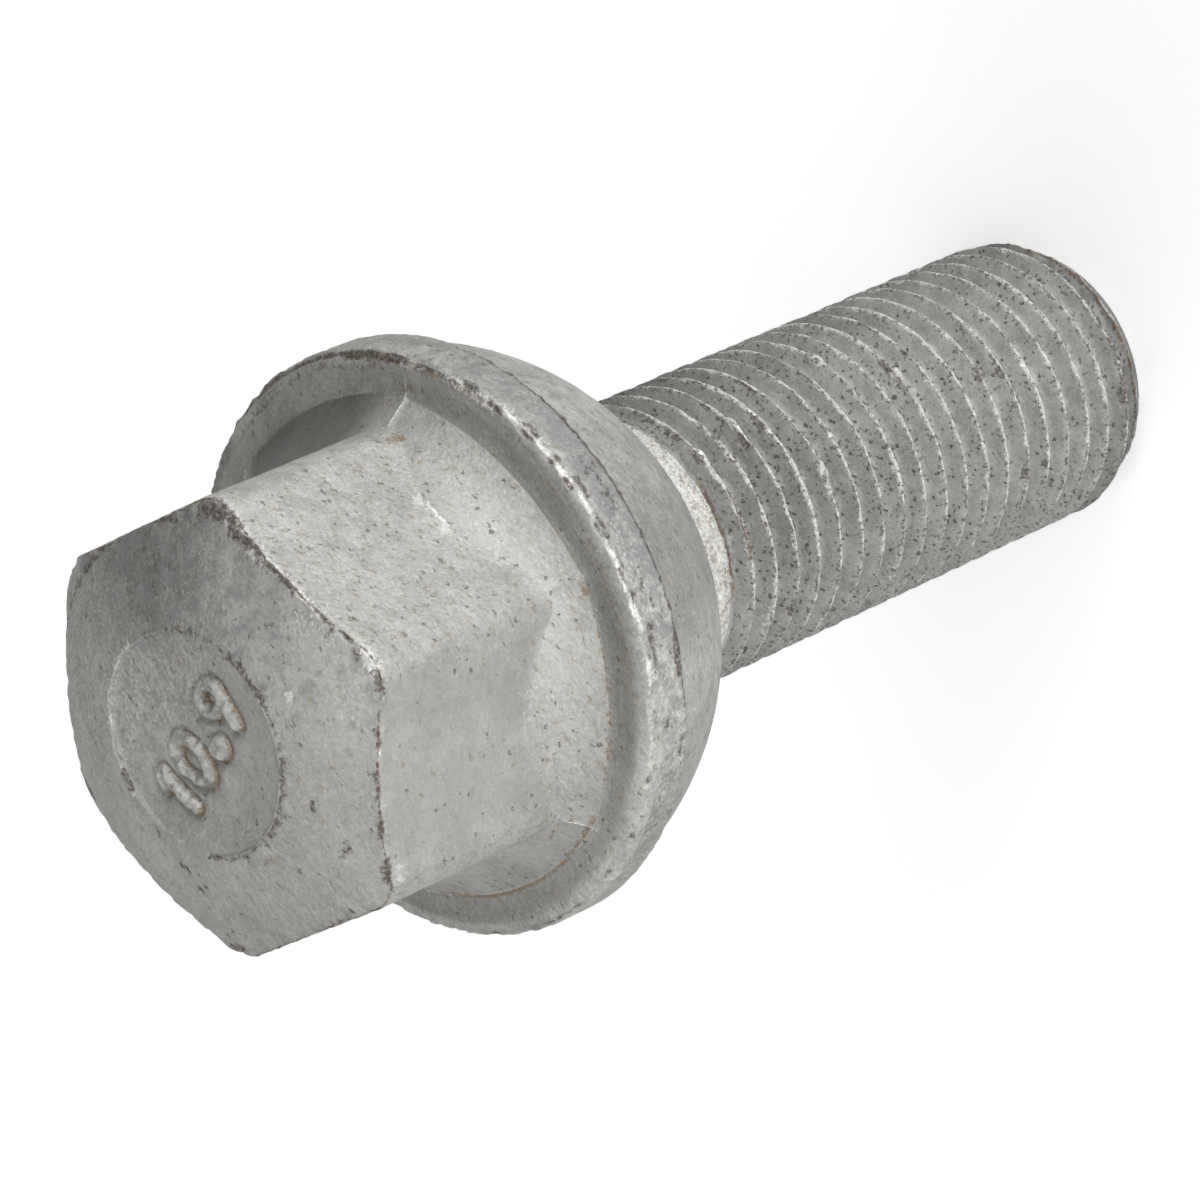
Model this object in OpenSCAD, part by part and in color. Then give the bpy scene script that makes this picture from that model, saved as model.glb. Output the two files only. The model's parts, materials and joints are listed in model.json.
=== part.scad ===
// Wheel bolt with a ball seat, forged in one piece, standing on the end of its thread.
// Heights are measured up the bolt's axis, from the end face at the tip.

/* [Shank] */
// Length of the shank, from the tip to the foot of the seat
shank_len = 32; // [20:0.5:60]
// Diameter over the crests of the thread
thread_d = 13.8; // [12:0.02:16]
// How far the tip's chamfer cuts in from the crests
tip_drop = 0.9; // [0.4:0.1:3]
// Length of the tip's chamfer
tip_chamfer = 1.5; // [0.8:0.1:3]
// How far the neck lies below the crests
neck_relief = 0.4; // [0.2:0.05:1]
// Length of the neck between the thread and the seat
neck_len = 1.8; // [1.4:0.1:6]
// Slope of the run-out from the crests to the neck, in degrees
run_out_slope = 45; // [30:1:60]
// Radius of the fillet between the neck and the seat
neck_fillet = 0.6; // [0.2:0.05:1.2]

/* [Ball seat] */
// Length of the seat, from the neck to the flange
seat_len = 9; // [6:0.1:11]
// Width of the step between the seat and the flange's rim
seat_step = 0.38; // [0.1:0.02:2]

/* [Flange] */
// Diameter of the flange
flange_d = 27.16; // [26:0.02:32]
// Thickness of the flange at its rim
flange_t = 2.56; // [2:0.02:5]
// Radius of the worn upper lip
lip_round = 0.8; // [0.3:0.05:1.4]

/* [Coves] */
// How far a cove runs out from its flat to the edge of the round pad
cove_out = 2; // [1.2:0.05:3]
// Height of a cove at the middle of its flat
cove_len = 3.35; // [2.4:0.05:4.5]
// Depth of a cove's hollow below a straight line from the flat to the pad's edge
cove_hollow = 0.27; // [0.1:0.01:0.5]
// How far the round of a cove is centred beyond the bolt's axis
cove_offset = 2.55; // [1:0.05:5]

/* [Hex head] */
// Width across the flats of the hex
hex_af = 18.9; // [17:0.1:20]
// How far the six side corners are worn back from a sharp edge
corner_wear = 0.3; // [0.1:0.05:0.6]
// Length of the head, from the flange to the hex's end corners
head_len = 11.7; // [9:0.1:18]
// Ball radius of the crowned end
crown_r = 22.8; // [18:0.1:40]
// Diameter of the round recess in the crowned end
recess_d = 10.1; // [6:0.1:12]
// Depth of the recess below its rim
recess_depth = 0.28; // [0.1:0.02:0.8]

/* [Hidden] */
$fn = 96;

// Heights of the main forms
thread_top = shank_len - neck_len;
run_out_len = neck_relief / tan(run_out_slope);
flange_foot = shank_len + seat_len;
flange_top = flange_foot + flange_t;
head_end = flange_top + head_len;
overlap = flange_t / 2;

// Radii of the shank
thread_r = thread_d / 2;
tip_r = thread_r - tip_drop;
neck_r = thread_r - neck_relief;

// The ball that joins the neck to the seat's widest circle
seat_base_r = flange_d / 2 - seat_step;
seat_rise = (pow(seat_base_r, 2) - pow(neck_r, 2) - pow(seat_len, 2)) / (2 * seat_len);
seat_centre = flange_foot + seat_rise;
seat_r = sqrt(pow(seat_base_r, 2) + pow(seat_rise, 2));

// The fillet below the seat touches both the ball and the neck
fillet_x = neck_r + neck_fillet;
fillet_z = seat_centre - sqrt(pow(seat_r + neck_fillet, 2) - pow(fillet_x, 2));
fillet_touch = seat_r / (seat_r + neck_fillet);
ball_touch_x = fillet_x * fillet_touch;
ball_touch_z = seat_centre + (fillet_z - seat_centre) * fillet_touch;

// The arc of a cove, from its start on the flat to its end on the pad's edge
cove_chord = sqrt(pow(cove_out, 2) + pow(cove_len, 2));
cove_arc_r = pow(cove_chord, 2) / (8 * cove_hollow) + cove_hollow / 2;
cove_reach = (cove_arc_r - cove_hollow) / cove_chord;
cove_arc_x = hex_af / 2 + cove_offset + cove_out / 2 + cove_len * cove_reach;
cove_arc_z = flange_top + cove_len / 2 + cove_out * cove_reach;

// The hex and its crowned end
sides = 6;
side_angle = 360 / sides;
sharp_r = hex_af / 2 / cos(side_angle / 2);
corner_r = sharp_r - corner_wear;
crown_centre = head_end - sqrt(pow(crown_r, 2) - pow(corner_r, 2));
crown_top = crown_centre + crown_r;
rim_level = crown_centre + sqrt(pow(crown_r, 2) - pow(recess_d / 2, 2));

// Half section of the chamfered tip, the crests and the neck
module shank_outline() {
    polygon([
        [0, 0],
        [tip_r, 0],
        [thread_r, tip_chamfer],
        [thread_r, thread_top - run_out_len],
        [neck_r, thread_top],
        [neck_r, shank_len + overlap],
        [0, shank_len + overlap]
    ]);
}

// Half section of the fillet between the neck and the seat
module fillet_outline() {
    difference() {
        polygon([
            [0, ball_touch_z],
            [ball_touch_x, ball_touch_z],
            [fillet_x, fillet_z],
            [0, fillet_z]
        ]);
        translate([fillet_x, fillet_z])
            circle(r = neck_fillet);
    }
}

// Half section of the ball seat
module seat_outline() {
    intersection() {
        translate([0, seat_centre])
            circle(r = seat_r);
        translate([0, shank_len])
            square([seat_base_r, seat_len + overlap]);
    }
}

// Half section of the flange, with its upper lip rounded
module flange_outline() {
    translate([0, flange_foot])
        square([flange_d / 2 - lip_round, flange_t]);
    translate([0, flange_foot])
        square([flange_d / 2, flange_t - lip_round]);
    translate([flange_d / 2 - lip_round, flange_top - lip_round])
        circle(r = lip_round);
}

// Everything that is round about the axis
module turned_body() {
    rotate_extrude() {
        shank_outline();
        fillet_outline();
        seat_outline();
        flange_outline();
    }
}

// Six flats, worn corners and a crowned end, with two flats facing along X
module hex_head() {
    intersection() {
        translate([0, 0, flange_top - overlap])
            rotate([0, 0, side_angle / 2])
                cylinder(h = crown_top - flange_top + overlap, r = sharp_r, $fn = sides);
        translate([0, 0, flange_top - overlap])
            cylinder(h = crown_top - flange_top + overlap, r = corner_r);
        translate([0, 0, crown_centre])
            sphere(r = crown_r);
    }
}

// One flared round, whose hollow side makes a single cove
module cove_flare() {
    flare_r = hex_af / 2 + cove_out + cove_offset;
    translate([-cove_offset, 0, 0])
        rotate_extrude()
            difference() {
                translate([0, flange_top - overlap])
                    square([flare_r, cove_arc_z - flange_top + overlap]);
                translate([cove_arc_x, cove_arc_z])
                    circle(r = cove_arc_r);
            }
}

// What six flares share: one cove at each flat, with a crisp ridge at each corner
module coves() {
    intersection_for(side = [0 : sides - 1])
        rotate([0, 0, side * side_angle])
            cove_flare();
}

// The shallow round recess in the crowned end
module recess() {
    translate([0, 0, rim_level - recess_depth])
        cylinder(h = crown_top - rim_level + recess_depth, r = recess_d / 2);
}

// The whole bolt, standing on its tip
module wheel_bolt() {
    color([0.67, 0.69, 0.67])
        difference() {
            union() {
                turned_body();
                coves();
                hex_head();
            }
            recess();
        }
}

wheel_bolt();
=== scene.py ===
import json
import math

import bpy
import numpy as np
from mathutils import Matrix, Vector, noise


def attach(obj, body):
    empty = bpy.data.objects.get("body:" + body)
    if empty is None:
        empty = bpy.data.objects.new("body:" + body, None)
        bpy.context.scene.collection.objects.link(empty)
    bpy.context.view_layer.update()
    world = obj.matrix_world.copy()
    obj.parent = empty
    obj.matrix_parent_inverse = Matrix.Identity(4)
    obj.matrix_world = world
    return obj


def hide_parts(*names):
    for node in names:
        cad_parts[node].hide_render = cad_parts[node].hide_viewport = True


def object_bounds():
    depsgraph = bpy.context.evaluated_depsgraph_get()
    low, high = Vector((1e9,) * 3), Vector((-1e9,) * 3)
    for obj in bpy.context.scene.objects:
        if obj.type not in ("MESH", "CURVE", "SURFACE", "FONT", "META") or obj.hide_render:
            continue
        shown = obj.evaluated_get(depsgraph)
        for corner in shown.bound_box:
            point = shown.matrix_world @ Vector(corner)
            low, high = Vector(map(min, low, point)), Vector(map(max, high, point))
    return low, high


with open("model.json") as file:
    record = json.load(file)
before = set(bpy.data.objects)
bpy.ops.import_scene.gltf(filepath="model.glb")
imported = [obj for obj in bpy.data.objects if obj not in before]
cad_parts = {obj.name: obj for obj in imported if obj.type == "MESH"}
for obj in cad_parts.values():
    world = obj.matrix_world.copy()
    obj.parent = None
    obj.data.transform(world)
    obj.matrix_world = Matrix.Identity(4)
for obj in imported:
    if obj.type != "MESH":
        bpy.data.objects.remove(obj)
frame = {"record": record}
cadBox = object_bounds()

mm = 0.001
mounts = {mount["name"]: mount for mount in frame["record"]["mounts"]}
print("frame loaded, box", cadBox)


# The bolt's own sizes in millimetres and degrees, heights from the tip upwards

bolt = {
    "threadRadius": mounts["thread"]["dims"]["r_mm"],
    "pitch": 1.5,
    "crestHeight": 27.97,        # one crest of the thread, where it passes +X
    "tipChamfer": 1.5,
    "tipDrop": 0.9,
    "tipRound": 0.12,
    "neckRelief": 0.4,
    "neckTop": 32.0,
    "threadEnd": 30.2,           # where the last groove has run out into the neck
    "filletRadius": 0.6,
    "seatLength": 9.0,
    "seatStep": 0.38,
    "flangeRadius": cadBox[1].x / mm,
    "flangeThick": 2.56,
    "lipRound": 0.8,
    "coveOut": 2.0,
    "coveLength": 3.35,
    "coveHollow": 0.27,
    "coveOffset": 2.55,
    "acrossFlats": 18.9,
    "cornerFillet": 1.94,
    "headLength": 11.7,
    "crownRadius": 22.8,
    "cornerReach": 10.61,
    "recessRadius": 5.05,
    "recessDepth": 0.28,
    "columns": 384,              # columns of the head, half as many on the thread
    "columnPull": 3.0,           # how far the columns crowd towards the hex's corners, in degrees
    "sharpAngle": 38,            # edges steeper than this are shaded sharp
}

threadTop = bolt["threadEnd"]
neckRadius = bolt["threadRadius"] - bolt["neckRelief"]
tipRadius = bolt["threadRadius"] - bolt["tipDrop"]
flangeFoot = bolt["neckTop"] + bolt["seatLength"]
flangeTop = flangeFoot + bolt["flangeThick"]
headEnd = flangeTop + bolt["headLength"]
apothem = bolt["acrossFlats"] / 2

# ball of the seat
seatBase = bolt["flangeRadius"] - bolt["seatStep"]
seatRise = (seatBase ** 2 - neckRadius ** 2 - bolt["seatLength"] ** 2) / (2 * bolt["seatLength"])
seatCentre = flangeFoot + seatRise
seatRadius = math.hypot(seatBase, seatRise)

# fillet between seat and neck
filletX = neckRadius + bolt["filletRadius"]
filletZ = seatCentre - math.sqrt((seatRadius + bolt["filletRadius"]) ** 2 - filletX ** 2)

# arc of a cove, about an axis set off from the bolt's
coveChord = math.hypot(bolt["coveOut"], bolt["coveLength"])
coveArc = coveChord ** 2 / (8 * bolt["coveHollow"]) + bolt["coveHollow"] / 2
coveReach = (coveArc - bolt["coveHollow"]) / coveChord
coveArcX = apothem + bolt["coveOffset"] + bolt["coveOut"] / 2 + bolt["coveLength"] * coveReach
coveArcZ = flangeTop + bolt["coveLength"] / 2 + bolt["coveOut"] * coveReach

# crowned end
crownCentre = headEnd - math.sqrt(bolt["crownRadius"] ** 2 - bolt["cornerReach"] ** 2)
rimLevel = crownCentre + math.sqrt(bolt["crownRadius"] ** 2 - bolt["recessRadius"] ** 2)
recessFloor = rimLevel - bolt["recessDepth"]


def smooth(low, high, value):
    t = np.clip((np.asarray(value, dtype=float) - low) / (high - low), 0, 1)
    return t * t * (3 - 2 * t)


def fromFlat(angle):
    # degrees from the nearest flat's middle, -30 to 30
    return (angle + 30) % 60 - 30


def hexRadius(angle):
    turn = np.abs(fromFlat(angle))
    toCorner = np.radians(30 - turn)
    fillet = bolt["cornerFillet"]
    reach = (apothem - fillet) / math.cos(math.radians(30))
    tangent = math.atan2(fillet * 0.5, reach + fillet * math.cos(math.radians(30)))
    inside = np.minimum(toCorner, tangent)
    rounded = reach * np.cos(inside) + np.sqrt(fillet ** 2 - (reach * np.sin(inside)) ** 2)
    return np.where(toCorner < tangent, rounded, apothem / np.cos(np.radians(turn)))


def coveRadius(angle, height):
    # the six flares meet in ridges at the corners
    turn = np.radians(fromFlat(angle))
    flare = coveArcX - np.sqrt(coveArc ** 2 - (height - coveArcZ) ** 2)
    offset = bolt["coveOffset"]
    return np.sqrt(flare ** 2 - (offset * np.sin(turn)) ** 2) - offset * np.cos(turn)


def coveStart(angle):
    # height at which the cove leaves the flat
    turn = np.radians(fromFlat(angle))
    offset = bolt["coveOffset"]
    flare = np.hypot(hexRadius(angle) + offset * np.cos(turn), offset * np.sin(turn))
    return coveArcZ - np.sqrt(coveArc ** 2 - (coveArcX - flare) ** 2)


def crownHeight(radius):
    return crownCentre + np.sqrt(bolt["crownRadius"] ** 2 - radius ** 2)


# Seeded noise, one value a point, about -1 to 1

def smoothNoise(points, size, seed, octaves=1):
    shift = Vector((seed * 7.31, seed * 3.17, seed * 5.03))
    return np.array([noise.fractal(Vector(p) / size + shift, 1.0, 2.0, octaves) if octaves > 1
                     else noise.noise(Vector(p) / size + shift) for p in points])


def ringNoise(angle, around, size, seed, octaves=1):
    # noise along a ring of radius around, seamless where it closes
    turn = np.radians(angle)
    ringPoints = np.stack([around * np.cos(turn), around * np.sin(turn), np.full(len(turn), seed * 1.7)], 1)
    return smoothNoise(ringPoints, size, seed, octaves)


# The skin is grown ring by ring, from the middle of the crowned end down to the tip

# what each point carries: its gaps from the lines that wear follows, its roughness and its region
markNames = [
    "markSide", "edgeGap", "seamGap", "crestGap", "ridgeGap", "startGap", "markGap", "rough", "region",
]
skin = {"points": [], "faces": [], "counts": 0, "marks": {name: [] for name in markNames}}
farAway = 9.0                    # from a line that doesn't pass near a point
crownSkin, flatSkin, coveSkin, padSkin, lipSkin, bandSkin, seatSkin, neckSkin, threadSkin = range(1, 10)


def columnAngles(count):
    even = np.arange(count) * 360.0 / count
    return even + bolt["columnPull"] * np.sin(np.radians(6 * even))


def addPoints(x, y, z, marks):
    count = len(x)
    first = skin["counts"]
    skin["points"].append(np.stack([x, y, z], 1))
    for name in markNames:
        fallback = 0.0 if name in ("rough", "region") else farAway
        values = np.asarray(marks.get(name, fallback), dtype=float)
        skin["marks"][name].append(np.broadcast_to(values, (count,)))
    skin["counts"] += count
    return np.arange(first, first + count)


def addRing(count, radius, height, **marks):
    turn = np.radians(columnAngles(count))
    radius = np.broadcast_to(radius, (count,))
    height = np.broadcast_to(height, (count,))
    return addPoints(radius * np.cos(turn), radius * np.sin(turn), height, marks)


def joinRings(upper, lower):
    # upper is nearer the head or the axis; counts are equal, or one is twice the other
    many, few = len(upper), len(lower)
    if many == few:
        for j in range(many):
            k = (j + 1) % many
            skin["faces"].append((upper[j], lower[j], lower[k], upper[k]))
    elif few == 2 * many:
        for j in range(many):
            k = (j + 1) % many
            here, there = upper[j], upper[k]
            first, middle, last = lower[2 * j], lower[2 * j + 1], lower[(2 * j + 2) % few]
            skin["faces"] += [(here, first, middle), (here, middle, there), (there, middle, last)]
    else:
        for j in range(few):
            k = (j + 1) % few
            here, there = lower[j], lower[k]
            first, middle, last = upper[2 * j], upper[2 * j + 1], upper[(2 * j + 2) % many]
            skin["faces"] += [(first, here, middle), (middle, here, there), (middle, there, last)]


def growRing(ring, count, radius, height, **marks):
    nextRing = addRing(count, radius, height, **marks)
    joinRings(ring, nextRing)
    return nextRing


def capCentre(ring, height, facingUp, **marks):
    centre = addPoints(np.zeros(1), np.zeros(1), np.full(1, height), marks)[0]
    count = len(ring)
    for j in range(count):
        k = (j + 1) % count
        skin["faces"].append((centre, ring[j], ring[k]) if facingUp else (ring[j], centre, ring[k]))


# Raised mark in the recess: a plain strength grade, as rounded strokes

mark = {
    "direction": 298.6,          # which way the row of digits runs, seen from above
    "strokes": [                 # straight strokes, as two ends
        ((-2.95, -1.2), (-2.95, 1.1)), ((-2.95, 1.1), (-3.45, 0.6)),
        ((3.0, 0.4), (2.45, -1.2)),
    ],
    "loops": [                   # round strokes, as middle and half width and height
        ((-1.05, 0.0), (0.72, 1.1)), ((2.35, 0.5), (0.66, 0.62)),
    ],
    "dots": [((0.7, -0.95), 0.28)],
    "strokeWidth": 0.38,
    "height": 0.44,
    "lumps": 0.9,
    "moat": 0.15,                # the floor is pressed down round the strokes
    "moatWidth": 0.22,
    "lumpSize": 0.55,
    "dirtAndShadowSide": (-0.63, -0.78),     # the side of the strokes on which dirt and painted shadow lie
}


def strokeGap(along, up, ends):
    (x0, y0), (x1, y1) = ends
    t = np.clip(((along - x0) * (x1 - x0) + (up - y0) * (y1 - y0)) / ((x1 - x0) ** 2 + (y1 - y0) ** 2), 0, 1)
    return np.hypot(along - x0 - t * (x1 - x0), up - y0 - t * (y1 - y0))


def markGaps(x, y):
    # how far each point lies from the middle of a stroke, in stroke widths
    turn = math.radians(mark["direction"])
    along = x * math.cos(turn) + y * math.sin(turn)
    up = -x * math.sin(turn) + y * math.cos(turn)
    gaps = [strokeGap(along, up, ends) for ends in mark["strokes"]]
    for (x0, y0), (wide, tall) in mark["loops"]:
        spread = np.hypot((along - x0) / wide, (up - y0) / tall)
        gaps.append(np.abs(spread - 1) * 0.5 * (wide + tall))
    gaps += [np.maximum(np.hypot(along - x0, up - y0) - size, 0) for (x0, y0), size in mark["dots"]]
    return np.minimum.reduce(gaps) / mark["strokeWidth"]


def markHeight(x, y):
    # relief of the mark, how far each point lies outside its strokes, and which of their sides it is on
    gap = markGaps(x, y)
    stepX, stepY = mark["dirtAndShadowSide"]
    side = gap - markGaps(x - 0.1 * stepX, y - 0.1 * stepY)
    outside = (gap - 1) * mark["strokeWidth"]
    lumps = 1 + mark["lumps"] * smoothNoise(np.stack([x, y, 0 * x], 1), mark["lumpSize"], 6, 2)
    raised = mark["height"] * np.clip(1 - gap ** 2, 0, 1) ** 0.9 * np.clip(lumps, 0.55, 1.0)
    moat = mark["moat"] * np.exp(-(np.maximum(outside, 0) / mark["moatWidth"]) ** 2)
    return raised - moat, outside, np.clip(0.5 + 2.2 * side, 0, 1)


recess = {
    "centreStep": 0.16,
    "fineStep": 0.085,           # across the mark
    "coarseStep": 0.2,
    "fineReach": 3.7,
    "longestEdge": 0.11,         # along the floor's rings
    "wallFoot": 4.86,
    "wallGap": 0.16,             # the floor's rings end this far inside the wall's foot
    "wallWidth": 0.3,
    "wallSteps": (0.0, 0.15, 0.3, 0.45, 0.6, 0.75, 0.9, 1.1),
    "wobble": 0.07,
    "wobbleSize": 1.6,
    "fineWobbleSize": 0.5,
    "sink": 0.03,
    "dish": 0.17,                # the floor rises towards the wall
    "dishStart": 3.3,
    "burr": 0.015,
    "wornBurr": 0.03,            # added to the burr towards its worn side
    "wornSide": 60,
    "rough": 0.35,
}


def growRecess():
    # floor with the mark, then the soft wall up to the rim
    full = bolt["columns"]
    ring = None
    radius = recess["centreStep"]
    while radius < recess["wallFoot"] - recess["wallGap"]:
        count = full // 16
        while count < full and 2 * math.pi * radius / count > recess["longestEdge"]:
            count *= 2
        turn = np.radians(columnAngles(count))
        relief, gap, side = markHeight(radius * np.cos(turn), radius * np.sin(turn))
        sink = recess["sink"] - recess["dish"] * smooth(recess["dishStart"], recess["wallFoot"], radius)
        nextRing = addRing(count, radius, recessFloor - sink + relief, markGap=gap, markSide=side,
                           rough=recess["rough"], region=crownSkin)
        if ring is None:
            capCentre(nextRing, recessFloor - recess["sink"], True, rough=recess["rough"], region=crownSkin)
        else:
            joinRings(ring, nextRing)
        ring = nextRing
        radius += recess["fineStep"] if radius < recess["fineReach"] else recess["coarseStep"]
    angle = columnAngles(full)
    coarse = ringNoise(angle, 5, recess["wobbleSize"], 3, 3)
    wobble = recess["wobble"] * (coarse + 0.5 * ringNoise(angle, 5, recess["fineWobbleSize"], 4))
    worn = 0.5 + 0.5 * np.cos(np.radians(angle - recess["wornSide"]))
    for t in recess["wallSteps"]:
        radii = recess["wallFoot"] + recess["wallWidth"] * t + wobble
        rise = smooth(0.05, 0.8, t)
        burr = (recess["burr"] + recess["wornBurr"] * worn) * math.exp(-((t - 0.8) / 0.14) ** 2)
        floorHeight = recessFloor + recess["dish"] - recess["sink"]
        height = floorHeight + (crownHeight(radii) - floorHeight) * rise
        height = np.minimum(height + burr, rimLevel - 0.003)
        ring = growRing(ring, full, radii, height, rough=recess["rough"], region=crownSkin)
    return ring, radii


endEdge = {
    "round": 0.12,               # worn round of the hex's end edge
    "leastRound": 0.07,
    "chip": 0.3,                 # how much further the chips go
    "chipSize": 0.8,
    "fineChipSize": 0.3,
    "cornerChip": 0.35,
    "burr": 0.06,
    "burrSize": 1.1,
    "crownRings": 14,
    "edgeRings": 9,
    "flatRings": 13,
}


def growHex(ring, startRadius):
    full = bolt["columns"]
    angle = columnAngles(full)
    outline = hexRadius(angle)
    chips = ringNoise(angle, 10, endEdge["chipSize"], 11, 3)
    fineChips = ringNoise(angle, 10, endEdge["fineChipSize"], 12, 2)
    nearCorner = smooth(0.82, 1.0, np.abs(fromFlat(angle)) / 30)
    reach = endEdge["round"] + endEdge["chip"] * np.clip(chips * 1.6 + 0.1, 0, 1) * (0.7 + 0.8 * fineChips)
    reach = reach + endEdge["cornerChip"] * nearCorner * np.clip(0.4 + chips, 0, 1)
    reach = np.maximum(reach, endEdge["leastRound"])
    edgeZ = crownHeight(outline)
    innerR = outline - reach
    innerZ = crownHeight(innerR)
    outerZ = edgeZ - reach
    # crown, from the recess out to the worn edge
    for i in range(1, endEdge["crownRings"] + 1):
        t = (i / endEdge["crownRings"]) ** 0.85
        radii = startRadius + (innerR - startRadius) * t
        gap = outline - radii
        rough = 0.6 + 0.6 * smooth(1.5, 0.2, gap)
        ring = growRing(ring, full, radii, crownHeight(radii), edgeGap=gap, rough=rough, region=crownSkin)
    # worn edge, a soft curve over the sharp one
    for i in range(1, endEdge["edgeRings"]):
        t = i / endEdge["edgeRings"]
        radii = (1 - t) ** 2 * innerR + 2 * t * (1 - t) * outline + t * t * outline
        height = (1 - t) ** 2 * innerZ + 2 * t * (1 - t) * edgeZ + t * t * outerZ
        gap = (0.5 - t) * 2 * reach
        ring = growRing(ring, full, radii, height, edgeGap=gap, rough=2.2, region=crownSkin)
    # flats, down to the start of the coves, where the dies left a low burr
    start = coveStart(angle)
    burr = endEdge["burr"] * np.clip(0.35 + 1.2 * ringNoise(angle, 9.5, endEdge["burrSize"], 14, 3), 0, 1)
    for i in range(endEdge["flatRings"] + 1):
        t = (i / endEdge["flatRings"]) ** 1.25
        height = outerZ + (start - outerZ) * t
        drop = height - start
        radii = outline + burr * (i == endEdge["flatRings"])
        rough = 1.1 - 0.4 * smooth(6, 2, drop)
        ring = growRing(ring, full, radii, height, edgeGap=height - edgeZ, startGap=drop, rough=rough,
                        region=flatSkin)
    return ring


cove = {
    "rings": 13,
    "annulusRings": 6,
    "flashHeight": 0.11,         # fine flash line left by the forging dies, at each corner
    "flashWidth": 0.11,
    "roll": [                    # soft roll at the pad's edge, out and up
        (0.09, 0.075), (0.19, 0.055), (0.28, 0.02), (0.34, -0.01),
    ],
    "rollSplit": 0.15,           # the roll belongs to the cove this far out, and then to the margin
    "rollFoot": 0.08,
    "dish": 0.03,
    "longFlash": 330,            # the corner whose flash line runs on across the pad's margin
}


def growCoves(ring):
    full = bolt["columns"]
    angle = columnAngles(full)
    start = coveStart(angle)
    side = np.radians(30 - np.abs(fromFlat(angle)))
    waver = cove["flashHeight"] * (0.9 + 0.6 * ringNoise(angle, 11, 2.0, 15))
    foot = flangeTop + cove["rollFoot"]
    for i in range(1, cove["rings"] + 1):
        t = (i / cove["rings"]) ** 1.1
        height = start + (foot - start) * t
        radii = coveRadius(angle, height)
        ridge = side * radii
        flash = waver * np.exp(-(ridge / cove["flashWidth"]) ** 2) * min(1, 6 * t)
        ring = growRing(ring, full, radii + flash, height, ridgeGap=ridge, startGap=start - height,
                        rough=0.5, region=coveSkin)
    footRadius = coveRadius(angle, foot)
    rollSize = 0.85 + 0.4 * ringNoise(angle, 11, 2.5, 16, 2)
    for out, up in cove["roll"]:
        radii = footRadius + out * rollSize
        ridge = side * radii
        flash = waver * 0.6 * np.exp(-(ridge / cove["flashWidth"]) ** 2)
        region = coveSkin if out < cove["rollSplit"] else padSkin
        ring = growRing(ring, full, radii + flash, flangeTop + up, ridgeGap=ridge, rough=0.5, region=region)
    padRadius = radii
    lipStart = bolt["flangeRadius"] - bolt["lipRound"]
    runsOn = np.abs(angle - cove["longFlash"]) < 30
    for i in range(1, cove["annulusRings"] + 1):
        t = i / cove["annulusRings"]
        radii = padRadius + (lipStart - padRadius) * t
        ridge = np.where(runsOn, side * radii, farAway)
        flash = waver * 0.7 * np.exp(-(ridge / cove["flashWidth"]) ** 2) * (1 - t) ** 0.5
        height = flangeTop - cove["dish"] * math.sin(math.pi * t) + flash
        ring = growRing(ring, full, radii, height, ridgeGap=ridge, rough=0.35, region=padSkin)
    return ring


flange = {
    "lipRings": 10,
    "lipPower": 0.76,            # below 1 makes the lip's round squarer
    "bandRings": 7,
    "footRound": 0.16,
    "footRings": 3,
    "seamDepth": 0.12,           # groove between the band and the seat
    "fray": 0.05,                # how far the band's foot wanders up and down
    "fraySize": 1.2,
}


def growFlange(ring):
    full = bolt["columns"]
    outer = bolt["flangeRadius"]
    lip = bolt["lipRound"]
    angle = columnAngles(full)
    for i in range(1, flange["lipRings"] + 1):
        turn = math.radians(90 * i / flange["lipRings"])
        radii = outer - lip + lip * math.sin(turn) ** flange["lipPower"]
        height = flangeTop - lip + lip * max(math.cos(turn), 0) ** flange["lipPower"]
        ring = growRing(ring, full, radii, height, rough=0.8 + 3.2 * math.sin(turn) ** 2, region=lipSkin)
    bandFoot = flangeFoot + flange["footRound"]
    for i in range(1, flange["bandRings"] + 1):
        t = i / flange["bandRings"]
        height = flangeTop - lip + (bandFoot - flangeTop + lip) * t
        ring = growRing(ring, full, outer, height, seamGap=height - flangeFoot, rough=3.0 - 1.2 * t,
                        region=bandSkin)
    frayed = flange["fray"] * ringNoise(angle, 13.5, flange["fraySize"], 17, 3)
    for i in range(1, flange["footRings"] + 1):
        turn = math.radians(90 * i / flange["footRings"])
        radii = outer - flange["footRound"] * (1 - math.cos(turn))
        height = bandFoot - flange["footRound"] * math.sin(turn) + frayed * math.sin(turn)
        ring = growRing(ring, full, radii, height, seamGap=height - flangeFoot, rough=1.2, region=bandSkin)
    seamRadius = seatBase - flange["seamDepth"]
    return growRing(ring, full, seamRadius, flangeFoot, seamGap=0.0, rough=seat["rough"], region=seatSkin)


seat = {
    "rings": 15,
    "filletRings": 5,
    "fullRings": 2,              # rings of the fillet that keep all the columns
    "neckRings": 4,
    "start": 0.06,               # the ball starts this far below the seam
    "rough": 0.3,
}


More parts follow.
